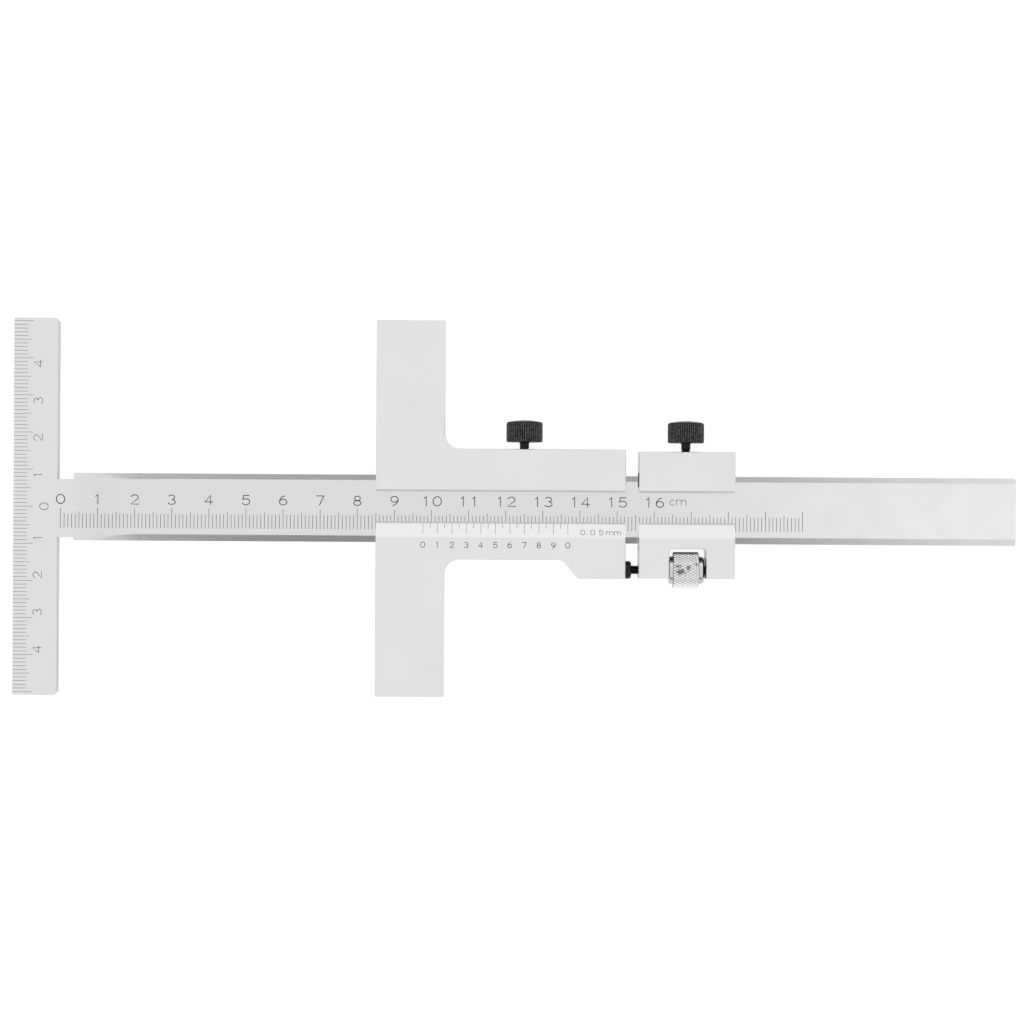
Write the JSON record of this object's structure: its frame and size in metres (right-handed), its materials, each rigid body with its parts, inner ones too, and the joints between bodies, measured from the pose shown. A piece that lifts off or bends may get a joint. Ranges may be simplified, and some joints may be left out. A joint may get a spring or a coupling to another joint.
{
  "type": "vernier marking gauge",
  "caption": "T-shaped steel rule with a sliding cross base, vernier, locking screws and a fine-adjustment nut, for measuring and scribing distances from an edge.",
  "frame": {"origin": "centre of the gauge's outline at rest, on the plane of the backs of slide and clamp", "axes": "+X along the beam from the blade to its plain end, +Y across the beam towards the lock screws, +Z out of the ruled faces"},
  "size_m": [0.2702, 0.1018, 0.0098],
  "materials": {
    "ground_steel": "ground stainless steel, fine lengthwise grain",
    "satin_steel": "satin chromed stainless steel",
    "knurled_steel": "bright diamond-knurled steel",
    "black_oxide": "black oxide on steel, satin",
    "spring_bronze": "rolled spring bronze strip"
  },
  "bodies": {
    "beam": {"beam": "ground_steel"},
    "slide": {"slide_body": "satin_steel", "fine_adjust_screw": "black_oxide"},
    "slide_gib": {"slide_gib": "spring_bronze"},
    "slide_lock": {"slide_lock_screw": "black_oxide"},
    "clamp": {"clamp_body": "satin_steel"},
    "clamp_gib": {"clamp_gib": "spring_bronze"},
    "clamp_lock": {"clamp_lock_screw": "black_oxide"},
    "nut": {"fine_adjust_nut": "knurled_steel"}
  },
  "joints": [
    {"name": "slide_travel", "type": "slide", "parent": "beam", "child": "slide", "axis": [1, 0, 0], "range_m": [-0.0857, 0.06225]},
    {"name": "slide_gib_travel", "type": "slide", "parent": "slide", "child": "slide_gib", "axis": [0, 1, 0], "range_m": [-0.00004, 0.00025]},
    {"name": "slide_lock_turn", "type": "hinge", "parent": "slide_gib", "child": "slide_lock", "pos_m": [0.00255, 0.0145, 0.00495], "axis": [0, 1, 0], "range_deg": [-32.1, 200.1]},
    {"name": "clamp_travel", "type": "slide", "parent": "slide", "child": "clamp", "axis": [1, 0, 0], "range_m": [-0.00185, 0.005]},
    {"name": "clamp_gib_travel", "type": "slide", "parent": "clamp", "child": "clamp_gib", "axis": [0, 1, 0], "range_m": [-0.00004, 0.00025]},
    {"name": "clamp_lock_turn", "type": "hinge", "parent": "clamp_gib", "child": "clamp_lock", "pos_m": [0.04615, 0.0145, 0.00495], "axis": [0, 1, 0], "range_deg": [-32.1, 200.1]},
    {"name": "nut_turn", "type": "hinge", "parent": "clamp", "child": "nut", "pos_m": [0.0464, -0.0162, 0.00495], "axis": [1, 0, 0], "range_deg": [-1480.5, 4000.5]}
  ],
  "couplings": [
    {"joint": "slide_lock_turn", "follows": "slide_gib_travel", "rad_per_m": 13963},
    {"joint": "clamp_lock_turn", "follows": "clamp_gib_travel", "rad_per_m": 13963},
    {"joint": "nut_turn", "follows": "clamp_travel", "rad_per_m": 13963}
  ]
}
